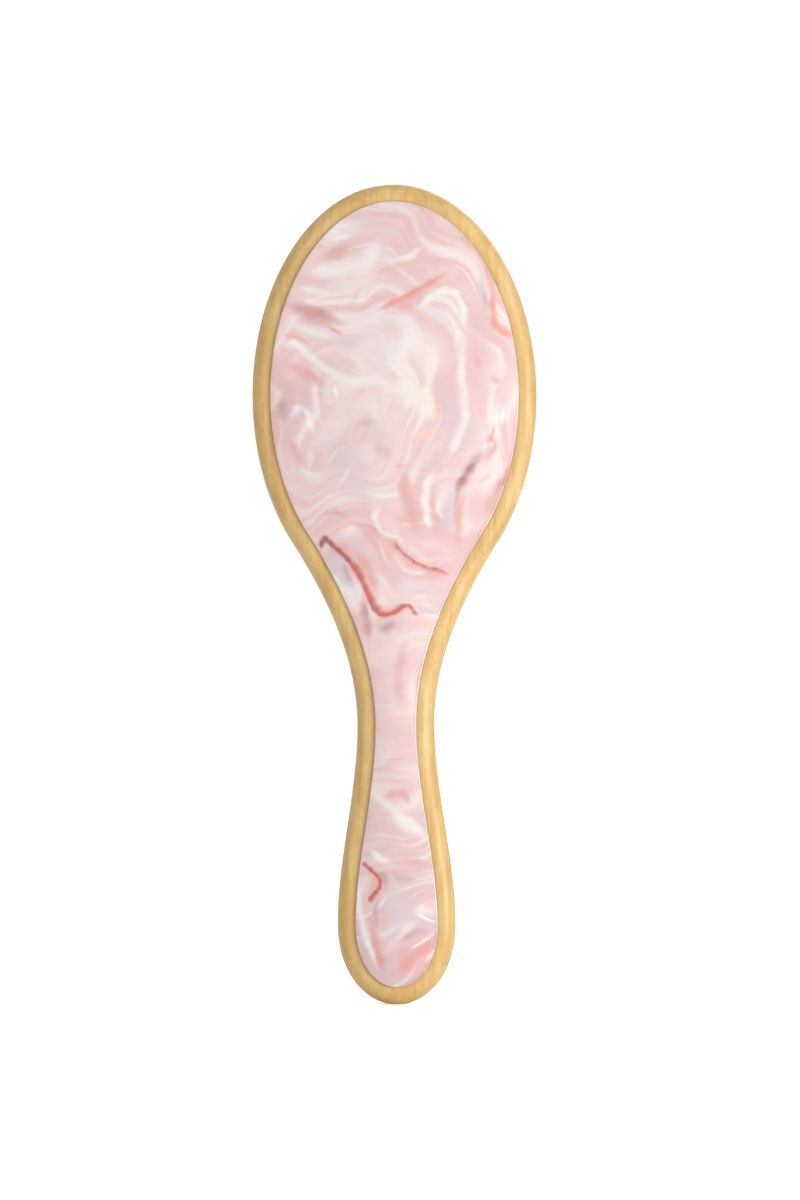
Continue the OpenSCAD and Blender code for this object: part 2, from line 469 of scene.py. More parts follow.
def bamboo_grain():
    """Blotches, lengthwise fibres and flecks of bamboo, shared by the body and the pins."""
    known = bpy.data.node_groups.get("Bamboo Grain")
    if known:
        return known
    inputs = {"Point": "Vector", "Light": "Color", "Dark": "Color", "Fibre": "Color", "Blotch": "Float"}
    outputs = {"Colour": "Color", "Height": "Float", "Roughness": "Float"}
    w, given, out = group("Bamboo Grain", inputs, outputs)
    point = given["Point"]
    cloud = w.noise(w.stretched(point, (0.16, 0.16, 0.07)), 1.0, 3.0, 0.55)
    tone = w.smooth(cloud, 0.32, 0.68)
    tone = w.math("MULTIPLY", tone, given["Blotch"])
    strip = w.noise(w.stretched(point, (0.55, 0.55, 0.012)), 1.0, 1.0)
    tone = w.math("MULTIPLY_ADD", w.smooth(strip, 0.4, 0.62), 0.4, tone, clamp=True)
    base = w.mix(tone, given["Light"], given["Dark"])
    streak = w.noise(w.stretched(point, (3.2, 3.2, 0.11)), 1.0, 3.0, 0.6)
    streaks = w.smooth(streak, 0.56, 0.74)
    base = w.mix(w.math("MULTIPLY", streaks, 0.42), base, given["Fibre"])
    fleck = w.noise(w.stretched(point, (5.5, 5.5, 0.9)), 1.0, 2.0, 0.6)
    flecks = w.smooth(fleck, 0.66, 0.76)
    base = w.mix(w.math("MULTIPLY", flecks, 0.6), base, given["Fibre"])
    mottle = w.noise(w.stretched(point, (1.4, 1.4, 0.8)), 1.0, 3.0, 0.65)
    w.feed(out["Colour"], w.shaded(base, w.smooth(mottle, 0.3, 0.7, 0.95, 1.03)))
    height = w.math("SUBTRACT", w.math("MULTIPLY", streak, 0.8), w.math("MULTIPLY", flecks, 0.4))
    w.feed(out["Height"], height)
    w.feed(out["Roughness"], w.smooth(mottle, 0.3, 0.7, 0.40, 0.56))
    return w.tree


def bamboo_material(name, settings, blotch, edge_wear=0.0):
    """Waxed bamboo with its grain running up the brush."""
    made, w, shader = material(name, Coat_Roughness=0.42, Specular_IOR_Level=0.4)
    point = w.millimetres()
    light, dark, fibre = ((*c, 1) for c in (settings.light_wood, settings.dark_wood, settings.fibre))
    values = {"Point": point, "Light": light, "Dark": dark, "Fibre": fibre, "Blotch": blotch}
    grain = w.place(bamboo_grain(), values)
    tint = grain["Colour"]
    if edge_wear:
        edge = w.node("ShaderNodeNewGeometry").outputs["Pointiness"]
        rubbed = w.math("MULTIPLY", w.smooth(edge, 0.51, 0.56), edge_wear)
        tint = w.mix(rubbed, tint, light)
    waxed = w.smooth(w.noise(point, 0.22, 2.0), 0.3, 0.7, 0.55, 0.8)
    relief = w.bump(grain["Height"], FIBRE_RELIEF, 0.5)
    w.finish(shader, Base_Color=tint, Roughness=grain["Roughness"], Coat_Weight=waxed, Normal=relief)
    return made


# ---------------------------------------------------------------- marbling

TINTS = {
    "pink": linear(238, 208, 206),
    "deep_pink": linear(232, 195, 194),
    "rose": linear(230, 178, 175),
    "dusk": linear(212, 156, 155),
    "coral": linear(234, 164, 153),
    "brick": linear(203, 112, 100),
    "wine": linear(174, 98, 98),
    "lilac": linear(222, 202, 209),
    "mauve": linear(196, 164, 174),
    "smoke": linear(220, 190, 191),
    "cream": linear(245, 234, 224),
    "milk": linear(243, 235, 232),
    "peach": linear(242, 207, 197),
    "white": linear(252, 248, 248),
}

# Flow lines: pitch across and drift along them, where the noise begins and is full, strength, tint.
FLOWS = (
    (0.09, 0.015, 0.48, 0.66, 0.60, "rose"),
    (0.13, 0.020, 0.50, 0.68, 0.80, "milk"),
    (0.24, 0.030, 0.50, 0.70, 0.50, "deep_pink"),
    (0.31, 0.030, 0.53, 0.72, 0.50, "white"),
    (0.17, 0.020, 0.54, 0.70, 0.50, "lilac"),
)

# The middle of the flow lines' rings, and the height of the calm neck, in millimetres.
RINGS_ROUND = (-12, 116, 1)
NECK_Z = 42

# Each streak is a tint, then points (x, z) along it in millimetres as the sheet is seen,
# how far it fades to the left and to the right of its line, and its strength.
STREAKS = (
    # broad clouds
    ("deep_pink", ((-20, 166), (22, 162)), 7, 6, 0.45),
    ("milk", ((-27, 147), (-12, 149), (6, 158)), 7, 6, 0.35),
    ("lilac", ((-22, 112), (-12, 98), (-6, 88)), 8, 9, 0.55),
    ("lilac", ((-12, 110), (2, 106)), 5, 5, 0.5),
    ("milk", ((-12, 136), (8, 130), (13, 122)), 8, 7, 0.4),
    ("milk", ((-14, 130), (4, 133)), 4, 4, 0.3),
    ("deep_pink", ((21, 150), (21.5, 128), (21, 106)), 5, 4, 0.75),
    ("pink", ((28, 130), (29, 112)), 6, 5, 0.6),
    ("deep_pink", ((22, 96), (21, 80)), 8, 6, 0.85),
    ("deep_pink", ((-12, 82), (-2, 70), (2, 62)), 6, 6, 0.6),
    ("pink", ((-3, 56), (1, 34)), 9, 9, 0.7),
    ("deep_pink", ((0, 24), (0, 8)), 9, 9, 0.35),
    ("lilac", ((-4, -12), (6, -22)), 6, 5, 0.9),
    ("rose", ((2, -26), (4, -38)), 9, 9, 0.7),
    # the head, from the crown down
    ("deep_pink", ((-12, 164), (4, 164.5)), 1.6, 3, 0.4),
    ("rose", ((-20.5, 154.4), (-15.5, 157.6), (-11, 159.8)), 1.6, 3.6, 0.85),
    ("white", ((-17, 160.6), (-14.4, 161.4), (-10.8, 161.3)), 0.7, 0.9, 0.6),
    ("milk", ((-26, 151.4), (-16, 152.4), (-7, 154.6), (-3, 160.5)), 2.6, 2.4, 0.95),
    ("peach", ((-13.8, 150.4), (-9, 151)), 1.6, 1.8, 0.7),
    ("milk", ((-3, 154.2), (4.4, 155.2), (7.6, 158.6)), 0.9, 1.2, 0.8),
    ("coral", ((-6.5, 151.6), (4.8, 153.6)), 0.6, 0.9, 0.38),
    ("deep_pink", ((-26.5, 149.4), (-15, 149)), 1.3, 1.4, 0.75),
    ("milk", ((-27.5, 147), (-14, 145.4)), 1.2, 1.1, 0.8),
    ("deep_pink", ((-8.4, 149.2), (-11.6, 142.6)), 0.8, 0.9, 0.5),
    ("cream", ((-7.2, 148.6), (-10.2, 141.8)), 0.7, 0.8, 0.5),
    ("dusk", ((-31.5, 142), (-22, 140.2), (-10.6, 136.8)), 2.6, 3, 0.95),
    ("mauve", ((-26, 138.4), (-16, 136.6)), 1.4, 2, 0.35),
    ("coral", ((-19, 136.9), (-12.2, 134.2)), 0.9, 0.8, 0.8),
    ("milk", ((-30.5, 137.2), (-21, 134.6), (-13, 131.8)), 1.2, 1.1, 0.75),
    ("rose", ((-31.5, 134.6), (-21.8, 131.4)), 1.3, 1.4, 0.85),
    ("milk", ((-31.5, 131), (-26.6, 131.2), (-22.4, 128), (-18.6, 125), (-12, 123)), 1.1, 1.4, 0.95),
    ("cream", ((-20, 124.4), (-11, 122.6), (-3, 122.6)), 1.8, 2.6, 0.9),
    ("deep_pink", ((-31, 128.6), (-26, 127.8)), 0.7, 0.8, 0.6),
    ("rose", ((-30.6, 127.4), (-24, 123.6), (-16.6, 118.6)), 1.9, 2.3, 1),
    ("white", ((-16.2, 121), (-15.2, 116.6)), 0.9, 0.8, 0.75),
    ("cream", ((-4, 120.4), (4, 119.2), (9, 115)), 4, 4.6, 0.95),
    ("cream", ((9.2, 121.6), (9.4, 116), (10.6, 110)), 2.4, 4.2, 0.95),
    ("peach", ((-4.4, 118.2), (0.6, 117.8)), 0.8, 0.8, 0.5),
    ("rose", ((-5.4, 140), (4, 143.4), (15, 149.6)), 1.6, 2.6, 0.6),
    ("coral", ((-5.6, 140.6), (-0.4, 143), (4.6, 144.8), (9.4, 147.7), (15, 151.2)), 0.8, 1.1, 0.95),
    ("deep_pink", ((14, 150.6), (17.5, 155.5)), 1, 1, 0.6),
    ("milk", ((6, 140.6), (9, 143.8), (13, 145.8), (16.4, 144.8), (18.4, 140.8), (18.8, 134)), 1, 1.2, 0.95),
    ("milk", ((18.8, 136), (18.4, 124), (18.6, 113), (16.6, 105), (14.2, 100.6)), 1.0, 1.6, 0.75),
    ("milk", ((14.6, 141.2), (16.8, 135), (17.2, 128)), 1, 0.9, 0.6),
    ("lilac", ((14.4, 123), (14.6, 110)), 1.9, 2, 0.65),
    ("peach", ((15.8, 140), (17.2, 134.6)), 0.7, 0.8, 0.4),
    ("lilac", ((22.8, 151.6), (23.4, 145), (23.8, 138.4)), 2, 2.2, 0.9),
    ("mauve", ((23.6, 146.4), (24.2, 139.6)), 1.2, 1.2, 0.45),
    ("rose", ((23.4, 154.2), (25.6, 149.4), (26.2, 144.6)), 1.3, 1.2, 0.85),
    ("coral", ((26.2, 147.4), (25.6, 142), (26.6, 137.4), (29, 134.6), (32.6, 132.8)), 1.3, 1.1, 0.9),
    ("rose", ((22.2, 129.6), (23.2, 124.4)), 1.6, 1.5, 0.65),
    ("rose", ((26.2, 124), (28.6, 121.2)), 1.3, 1.3, 0.6),
    ("peach", ((27.4, 119.2), (29.6, 116.8)), 1.4, 1.3, 0.8),
    ("white", ((29, 117), (28.8, 113), (28, 108.4)), 1.0, 1.1, 0.7),
    ("lilac", ((23.4, 108.2), (24, 104.6)), 1.1, 1.1, 0.8),
    ("coral", ((26.4, 110.8), (24.9, 106.6), (26.4, 104.4)), 0.8, 0.8, 0.75),
    ("mauve", ((-31, 118.4), (-28.6, 110)), 2.4, 2.4, 0.6),
    ("mauve", ((-28, 117), (-22.4, 111.4)), 0.8, 0.9, 0.5),
    ("white", ((-28.4, 111.6), (-26, 114.6), (-23, 113.4), (-22, 110.6), (-21.8, 107.6)), 1.1, 1.1, 0.55),
    ("rose", ((-28.6, 107.4), (-25, 96.4)), 2.2, 2, 0.75),
    ("milk", ((-23.4, 104.6), (-23.4, 96.6)), 1, 1, 0.6),
    ("peach", ((-20.6, 100.4), (-18.6, 105)), 0.8, 0.8, 0.65),
    ("rose", ((-17.6, 102.4), (-13.6, 108)), 0.7, 0.8, 0.4),
    ("milk", ((-19.8, 98), (-14.4, 106.2)), 0.6, 0.7, 0.5),
    ("milk", ((-17, 91.4), (-9.4, 101.4)), 0.7, 0.8, 0.45),
    ("mauve", ((-6, 105.4), (0.2, 101.6)), 3, 3, 0.35),
    ("mauve", ((-12.6, 110.6), (-3.6, 111.6)), 1.6, 2, 0.35),
    ("deep_pink", ((-25.4, 90.6), (-22, 88.8)), 1.2, 1.2, 0.65),
    ("peach", ((2.2, 103.6), (8.4, 107.4), (14.6, 109.6)), 1.6, 2.6, 0.95),
    ("rose", ((-1.2, 99.4), (4.8, 98.6)), 0.9, 1.2, 0.6),
    ("rose", ((1.6, 99.4), (3, 92.6), (4.6, 86), (6.6, 79.4)), 2.6, 2, 0.9),
    ("milk", ((11.8, 98.6), (8.8, 94), (8, 89.4), (9, 84.6), (11, 80.6)), 1.0, 1.2, 0.85),
    ("rose", ((10.6, 95), (10, 88), (12.4, 80.4)), 0.9, 0.8, 0.5),
    ("milk", ((11.6, 92), (11.8, 87), (14, 82)), 0.6, 0.7, 0.6),
    ("lilac", ((14.4, 96), (14.8, 86), (14.2, 76)), 1.8, 1.8, 0.95),
    ("dusk", ((16.4, 96), (15.8, 86)), 0.7, 0.9, 0.7),
    ("mauve", ((16.6, 96.2), (21.6, 101.4), (25.6, 104.4)), 1.6, 1.4, 0.5),
    ("wine", ((15.2, 91.6), (17.4, 95.6), (20, 98.6), (23, 101.4)), 1.2, 1.6, 0.6),
    ("rose", ((21, 99.2), (25.8, 103.4), (27, 107)), 0.9, 1.2, 0.8),
    ("milk", ((18.2, 92.6), (23.4, 97.8), (28, 101)), 0.9, 1.2, 0.4),
    ("rose", ((17.6, 95), (16.6, 86), (17.8, 75)), 1.5, 1.1, 0.9),
    ("rose", ((29.5, 98), (25.6, 89.4), (21.5, 84)), 3.4, 3, 0.7),
    ("dusk", ((32, 101), (28.8, 94.6), (25.4, 89.6)), 0.9, 1.2, 0.8),
    ("pink", ((-4.6, 92.4), (-2, 84), (6, 76)), 4, 3, 0.7),
    ("milk", ((-2, 90.2), (-5.6, 86.4), (-4.6, 82.2), (2.6, 78.4), (8.4, 75.6)), 0.9, 1.2, 0.75),
    ("rose", ((-20.6, 85.6), (-15.6, 86.4), (-10.6, 85.2)), 1.8, 0.9, 0.8),
    ("dusk", ((-12, 85), (-6.4, 83.2), (-1.6, 79.8)), 0.6, 1.3, 0.5),
    # the soft glow that the red veins lie in
    ("coral", ((-19, 78.6), (-14.4, 76.4), (-10.4, 71), (-7.6, 64.6), (-4.4, 59.6)), 3.4, 1.6, 0.6),
    ("coral", ((-6, 61.2), (-2.8, 58.8), (0.6, 60.1), (3.4, 61.4)), 3, 1.8, 0.6),
    ("rose", ((-12.6, 84.6), (-6.4, 81.6), (-1, 78.6), (4.6, 74), (10.4, 71.6), (15.2, 69.8)), 1.4, 2.6, 0.7),
    ("dusk", ((-6.4, 58.6), (-2, 55.6), (4.2, 56.6)), 1.2, 3.2, 0.5),
    ("coral", ((-9.4, -6.8), (-5.4, -10), (-5.6, -13.6), (-7.6, -16.8)), 1.4, 1.6, 0.4),
    # the red veins above the neck, and what runs beside them
    ("brick", ((-1.4, 79.3), (0.4, 77.8), (2.6, 75.6), (5, 74), (7.8, 72.8), (10.4, 71.8),
     (15.4, 69.8)), 0.3, 0.8, 0.7),
    ("rose", ((-10, 84), (-5.6, 78.4), (-2, 70.4)), 0.9, 1, 0.75),
    ("rose", ((-6, 82), (-1.6, 75.4), (3.4, 69)), 0.8, 1.2, 0.5),
    ("milk", ((-6.4, 71.6), (0.6, 64.6)), 1.4, 1.6, 0.6),
    ("milk", ((9, 70.6), (3, 71.8)), 0.7, 0.8, 0.5),
    ("lilac", ((-18.8, 77.6), (-14.8, 71.6), (-10.4, 64.4)), 2.4, 2.4, 1),
    ("mauve", ((-14.8, 74.6), (-10.6, 66.4)), 1.5, 1.5, 0.7),
    ("wine", ((-20.2, 77.4), (-19.4, 78.9), (-18.2, 79.6), (-16.6, 78.6), (-14.9, 76.9), (-12.6, 74.2),
     (-10.8, 71.6)), 0.8, 0.7, 1),
    ("brick", ((-13, 74.8), (-10.8, 71.6), (-9.4, 69), (-8.2, 66.2), (-7, 63.4), (-5.6, 60.9),
     (-4.2, 59.4)), 1.5, 0.6, 0.95),
    ("brick", ((-5.6, 60.6), (-4.2, 59.3), (-2.8, 58.8), (-1, 59.2), (0.6, 60.1), (1.9, 61.2),
     (2.9, 61.7)), 1.6, 0.6, 0.95),
    ("brick", ((1.9, 61.3), (2.9, 61.7), (3.8, 61.2), (4.9, 59.9), (6.2, 58.4)), 0.7, 0.8, 0.75),
    ("dusk", ((-9.6, 65.4), (-8, 60.2), (-6.9, 56.4), (-6.4, 52)), 1.2, 1.6, 0.7),
    ("milk", ((-19.6, 75.4), (-13.4, 65.4), (-8.6, 57.6)), 0.6, 0.8, 0.7),
    ("mauve", ((-5.2, 54.6), (1.4, 57.4)), 1.8, 2.2, 0.8),
    ("lilac", ((-1.4, 56), (3.6, 57.4)), 1.6, 1.8, 0.8),
    ("lilac", ((4.6, 60.8), (13.2, 60.3)), 0.8, 1.4, 0.95),
    ("milk", ((4.6, 62.8), (11.6, 62.6)), 0.8, 0.8, 0.6),
    ("peach", ((4.8, 58.6), (7.2, 57.2), (8.8, 54.6)), 1.2, 1.4, 0.7),
    # the neck
    ("pink", ((-5.8, 49.6), (-0.6, 53.4), (3.4, 54.8)), 0.5, 1.6, 0.8),
    ("rose", ((3.6, 54), (1.6, 47.4), (1, 40.6), (1.8, 33)), 1.5, 2, 0.5),
    ("milk", ((5, 46.6), (4.6, 32)), 1.2, 1.5, 0.6),
    # the handle
    ("rose", ((-4.9, 21.3), (4.8, 21.4)), 0.35, 0.5, 0.6),
    ("rose", ((-4.4, 17.6), (4.6, 17.3)), 0.6, 0.9, 0.4),
    ("rose", ((-4.4, 14.6), (4.9, 14.9)), 0.5, 0.9, 0.4),
    ("rose", ((-4.2, 10.6), (-1, 12), (2.2, 11.4), (5, 8.4)), 1, 1.3, 0.85),
    ("milk", ((-3.2, 8.6), (2.6, 4), (9.6, -2.6)), 2.6, 3, 1),
    ("deep_pink", ((-4.6, 7.6), (-3.6, 3.6), (0.4, -0.6)), 1.2, 1, 0.75),
    ("milk", ((-8.4, -2), (-4.6, -5.2), (0.6, -8.2)), 1.4, 1.8, 0.85),
    ("rose", ((1.6, -6), (5.6, -7), (10.6, -8)), 1.3, 2.2, 0.6),
    ("deep_pink", ((7, -12), (10.6, -21)), 3, 3, 0.75),
    ("lilac", ((-3.4, -12), (-1.2, -18), (0.6, -25)), 3.4, 3.6, 0.9),
    ("mauve", ((-6, -8.6), (-3.6, -10.6), (-3.2, -14.6)), 1.9, 0.8, 0.8),
    ("mauve", ((-2.4, -9.4), (7, -12.6)), 1.4, 1.6, 0.5),
    ("brick", ((-10, -6.6), (-8.6, -7), (-7, -8.2), (-5.6, -9.6), (-4.7, -11.2), (-5, -12.8),
     (-6.2, -14.2), (-7.2, -15.6), (-7.7, -17.2)), 0.7, 0.5, 1),
    ("mauve", ((-5.4, -14.4), (-6.4, -19.4), (-6.2, -26.4)), 0.9, 0.8, 0.55),
    ("lilac", ((-3.6, -16.4), (2.4, -20.4), (9.4, -23)), 2.6, 3.4, 0.85),
    ("dusk", ((-1.6, -28.8), (3.6, -26.2), (9.8, -23.6)), 1, 1.5, 0.5),
    ("coral", ((-2.6, -37), (2.4, -33.6), (7, -29.6), (11, -24.4)), 1.4, 2, 0.65),
    ("coral", ((-7.2, -22.4), (-6.4, -27.6), (-5.2, -32.4), (-3.6, -37.4)), 1.6, 1.2, 0.75),
    ("lilac", ((-0.9, -27.6), (-0.3, -38.6)), 1.5, 1.5, 0.8),
    ("lilac", ((2.4, -38.6), (5.4, -36.4)), 1.4, 1.6, 0.7),
    ("white", ((3.6, -19.6), (7.4, -21.8), (11.4, -23.4)), 0.4, 0.5, 0.7),
    ("white", ((10, -25), (3.2, -30.8)), 0.4, 0.4, 0.65),
    ("white", ((10.8, -28.4), (7.6, -34.8)), 0.8, 0.8, 0.7),
    ("milk", ((-10, -8.6), (-10.2, -18), (-8.6, -28), (-5.4, -37)), 1.1, 1, 0.95),
    ("rose", ((-7.6, -18), (-6.6, -29)), 0.7, 0.8, 0.7),
    # light and glow laid over the red veins
    ("peach", ((-3.8, 66.4), (-1.6, 62.8), (2.2, 63.4), (6.4, 65.4)), 2.2, 1, 0.7),
    ("coral", ((-11.6, 77.6), (-8.4, 73), (-6, 68), (-3.6, 63.2)), 1.8, 0.8, 0.55),
    ("deep_pink", ((0.6, 85.4), (2.6, 79), (9.6, 75.2), (15.2, 74.4)), 1.2, 1.6, 0.6),
)


TIP_BREADTH = 0.4  # how broad a streak stays at its tips
TAPER = 0.75  # share of an end stretch over which a streak fades in or out
ALONE_TAPER = 0.42  # the same at each end of a streak of one stretch
LAP = 0.7  # how far stretches overlap, as a share of their two fades
MOST_BREADTH = 0.16  # the widest fade that spreading gives, as a share of a streak's length
NEXT_TO_NOTHING = 1e-9


def marble_streak():
    """One straight stretch of a streak of pigment, laid over the colour that comes in.

    Along and Across are the two lines' equations: each one's product with the point
    (x, z, 1) is 0 to 1 along the stretch, and 1 at the fade's limit to the left of it.
    """
    inputs = {"Colour": "Color", "Point": "Vector", "Along": "Vector", "Across": "Vector"}
    inputs |= {name: "Float" for name in ("Lopsided", "Begins", "Full From", "Full To", "Ends")}
    inputs |= {"Tint": "Color", "Strength": "Float"}
    w, given, out = group("Marble Streak", inputs, {"Colour": "Color", "Next Point": "Vector"})
    along = w.product(given["Point"], given["Along"])
    to_left = w.product(given["Point"], given["Across"])
    to_right = w.math("MULTIPLY", to_left, given["Lopsided"])
    starts = w.smooth(along, given["Begins"], given["Full From"])
    ends = w.smooth(along, given["Full To"], given["Ends"], 1.0, 0.0)
    length = w.math("MULTIPLY", starts, ends)
    aside = w.math("MAXIMUM", to_left, to_right)
    aside = w.math("DIVIDE", aside, w.math("MULTIPLY_ADD", length, 1 - TIP_BREADTH, TIP_BREADTH))
    breadth = w.smooth(aside, 0.0, 1.0, given["Strength"], 0.0)
    tint = w.mix(w.math("MULTIPLY", breadth, length), given["Colour"], given["Tint"])
    w.feed(out["Colour"], tint)
    # the next streak waits for this one's colour, which keeps the renderer's stack short
    waited = w.vector("MULTIPLY", tint, (NEXT_TO_NOTHING, NEXT_TO_NOTHING, 0))
    w.feed(out["Next Point"], w.vector("ADD", given["Point"], waited))
    return w.tree


def stretches(points, left, right):
    """The straight stretches of a streak: (along, across, begins, full from, full to, ends).

    The streak tapers over its two ends, and its stretches overlap where they join.
    """
    last = len(points) - 2
    taper = ALONE_TAPER if last == 0 else TAPER
    for k, ((ax, az), (bx, bz)) in enumerate(zip(points, points[1:])):
        reach = math.dist((ax, az), (bx, bz))
        dx, dz = (bx - ax) / reach, (bz - az) / reach
        along = (dx / reach, dz / reach, -(ax * dx + az * dz) / reach)
        across = (-dz / left, dx / left, (ax * dz - az * dx) / left)
        lap = LAP * (left + right) / reach
        first = (0.0, taper) if k == 0 else (-lap, 0.0)
        final = (1.0 - taper, 1.0) if k == last else (1.0, 1.0 + lap)
        yield along, across, *first, *final


def marbled_ground(w, point, swept, sheet):
    """Clouded pink and cream, drawn out along curved flow lines: the colour under the streaks."""
    cloud = w.smooth(w.noise(point, 0.05, 3.0, 0.5, 1.4), 0.36, 0.64)
    ground = w.mix(cloud, (*sheet.pale, 1), (*sheet.blush, 1))
    # rings round a point left of the head's middle, bent by the swirl
    ring = w.node("ShaderNodeVectorMath", {0: swept, 1: RINGS_ROUND}, operation="DISTANCE")
    ring = ring.outputs["Value"]
    # pinker towards the butt, and calmer through the neck
    _, z, _ = w.node("ShaderNodeSeparateXYZ", {0: point}).outputs
    from_neck = w.math("ABSOLUTE", w.math("SUBTRACT", z, NECK_Z))
    bold = w.smooth(from_neck, 8, 24, 0.4, 1.0)
    ground = w.mix(w.smooth(z, -40, 60, 0.75, 0.0), ground, TINTS["smoke"])
    for pitch, drift, low, high, strength, tint in FLOWS:
        across = w.math("MULTIPLY", ring, pitch)
        x, z, _ = w.node("ShaderNodeSeparateXYZ", {0: w.stretched(point, (drift, drift, 1))}).outputs
        line = w.node("ShaderNodeCombineXYZ", {0: across, 1: x, 2: z}).outputs[0]
        band = w.smooth(w.noise(line, 1.0, 2.0, 0.5), low, high, 0.0, strength)
        ground = w.mix(w.math("MULTIPLY", band, bold), ground, TINTS[tint])
    return ground


def marbled_material(sheet):
    """Polished acetate with streaks of pigment drawn through it."""
    made, w, shader = material(
        "Marbled acetate",
        Specular_IOR_Level=0.5,
        IOR=1.49,
        Coat_Weight=0.5,
        Coat_Roughness=0.04,
    )
    x, _, z = w.node("ShaderNodeSeparateXYZ", {0: w.millimetres()}).outputs
    flat = w.node("ShaderNodeCombineXYZ", {0: x, 1: z, 2: 1.0}).outputs[0]
    wander = w.noise(flat, 0.07, 2.0, 0.5, colour=True)
    ripple = w.noise(flat, 0.32, 2.0, 0.5, colour=True)
    wander = w.jitter(wander, 4.6)
    ripple = w.jitter(ripple, 0.5)
    point = w.vector("ADD", w.vector("ADD", flat, wander), ripple)
    swirl = w.jitter(w.noise(flat, 0.03, 1.5, 0.35, 0.3, colour=True), 46)
    tint = marbled_ground(w, point, w.vector("ADD", point, swirl), sheet)
    streak_group = marble_streak()
    for pigment, points, left, right, strength in STREAKS:
        # a short streak spreads less, or it would turn into a blot
        reach = sum(math.dist(a, b) for a, b in zip(points, points[1:]))
        spread = max(1.0, min(sheet.spread, MOST_BREADTH * reach / max(left, right)))
        left, right = left * spread, right * spread
        for along, across, begins, full_from, full_to, ends in stretches(points, left, right):
            values = {"Colour": tint, "Point": point, "Along": along, "Across": across}
            values |= {"Lopsided": -left / right, "Begins": begins, "Full From": full_from}
            values |= {"Full To": full_to, "Ends": ends, "Tint": TINTS[pigment], "Strength": strength}
            streak = w.place(streak_group, values)
            tint = streak["Colour"]
            point = streak["Next Point"]
    # hair-fine flow lines, then a slight haze in the polish
    flow = w.noise(w.stretched(point, (0.16, 0.9, 1)), 1.0, 3.0, 0.6, 1.2)
    tint = w.shaded(tint, w.smooth(flow, 0.3, 0.7, 0.975, 1.02))
    haze = w.smooth(w.noise(flat, 0.25, 2.0), 0.3, 0.7, 0.13, 0.2)
    relief = w.bump(w.noise(flat, 0.12, 1.0), SHEET_RELIEF, 0.25)
    w.finish(shader, Base_Color=tint, Roughness=haze, Normal=relief)
    return made


# ---------------------------------------------------------------- other finishes


def rubber_material(cushion, vent_at):
    """Satin moulded rubber, faintly mottled, with painted shade darkening the inside of the vent."""
    made, w, shader = material("Cushion rubber", Specular_IOR_Level=0.42, Sheen_Weight=0.08)
    point = w.millimetres()
    mottle = w.smooth(w.noise(point, 0.12, 3.0, 0.55), 0.3, 0.7)
    rubber = Vector(cushion.rubber)
    deep = (*(rubber * 0.86), 1)
    tint = w.mix(w.math("MULTIPLY", mottle, 0.6), (*rubber, 1), deep)
    # painted shade: the vent's hole is darkened nearly to black round its middle, where its depth would lie
    # in shade
    centre = w.vector("SUBTRACT", point, vent_at / MM)
    near = w.node("ShaderNodeVectorMath", {0: centre}, operation="LENGTH").outputs["Value"]
    tint = w.mix(w.smooth(near, 1.1, 0.55), tint, (*(rubber * 0.12), 1))
    grain = w.noise(point, 3.2, 3.0, 0.6)
    roughness = w.smooth(grain, 0.3, 0.7, 0.46, 0.6)
    w.finish(shader, Base_Color=tint, Roughness=roughness, Normal=w.bump(grain, RUBBER_RELIEF, 0.35))
    return made


def weave(w, point, pitch):
    """Height of a plain weave across X and Z, with threads a pitch apart, and a mask of the gaps between
    threads, used for painted shade.
    """
    x, _, z = w.node("ShaderNodeSeparateXYZ", {0: point}).outputs
    turn = math.pi / pitch
    warp = w.math("SINE", w.math("MULTIPLY", x, turn))
    weft = w.math("SINE", w.math("MULTIPLY", z, turn))
    over = w.math("MULTIPLY", warp, weft)
    thread = w.math("MAXIMUM", w.math("ABSOLUTE", warp), w.math("ABSOLUTE", weft))
    return w.math("MULTIPLY_ADD", over, 0.25, thread), w.smooth(thread, 0.75, 0.35)


def canvas_material(cushion):
    """Plain-woven cotton, with painted shade darkening the gaps between its threads."""
    made, w, shader = material("Cotton canvas", Sheen_Weight=0.25, Specular_IOR_Level=0.2)
    point = w.millimetres()
    height, gap = weave(w, point, THREAD_PITCH)
    slub = w.smooth(w.noise(w.stretched(point, (0.6, 0.6, 2.2)), 1.0, 2.0), 0.4, 0.7)
    cotton = Vector(cushion.cotton)
    tint = w.mix(w.math("MULTIPLY", slub, 0.5), (*cotton, 1), (*(cotton * 0.8), 1))
    # painted shade: the gaps between the threads are darkened
    tint = w.mix(gap, tint, (*(cotton * 0.45), 1))
    roughness = w.smooth(slub, 0.0, 1.0, 0.82, 0.92)
    w.finish(shader, Base_Color=tint, Roughness=roughness, Normal=w.bump(height, THREAD_RELIEF, 0.6))
    return made


def film_material(cushion):
    """Milky bonding film with trapped air."""
    made, w, shader = material("Bonding film", Specular_IOR_Level=0.35)
    point = w.millimetres()
    air = w.smooth(w.noise(point, 1.2, 3.0), 0.55, 0.7)
    film = Vector(cushion.film)
    tint = w.mix(air, (*film, 1), (*(film * 0.85), 1))
    roughness = w.smooth(air, 0.0, 1.0, 0.35, 0.6)
    w.finish(shader, Base_Color=tint, Roughness=roughness, Normal=w.bump(air, AIR_RELIEF, 0.4))
    return made


# ---------------------------------------------------------------- pieces

RECESS_Y = SHEET_HIGH.y + 0.0002
SHOULDER_Y = BODY_HIGH.y - 0.001
GROOVE_TOP = BODY_HIGH.y - 0.0023
GROOVE_FLOOR = GROOVE_TOP - 0.002
GROOVE_REACH = 0.0025
POCKET_Y = BODY_HIGH.y - 0.009
POCKET_EASE = 0.001
WALL_GAP = 0.0001
FLANGE_EASE = 0.0002
FLANGE_GAP = 0.00005
ARRIS = 0.0003
BACK_STEPS = 8
FRONT_STEPS = 12
# the front is flat from this far above the dip's end
FLAT_MARGIN = 0.002
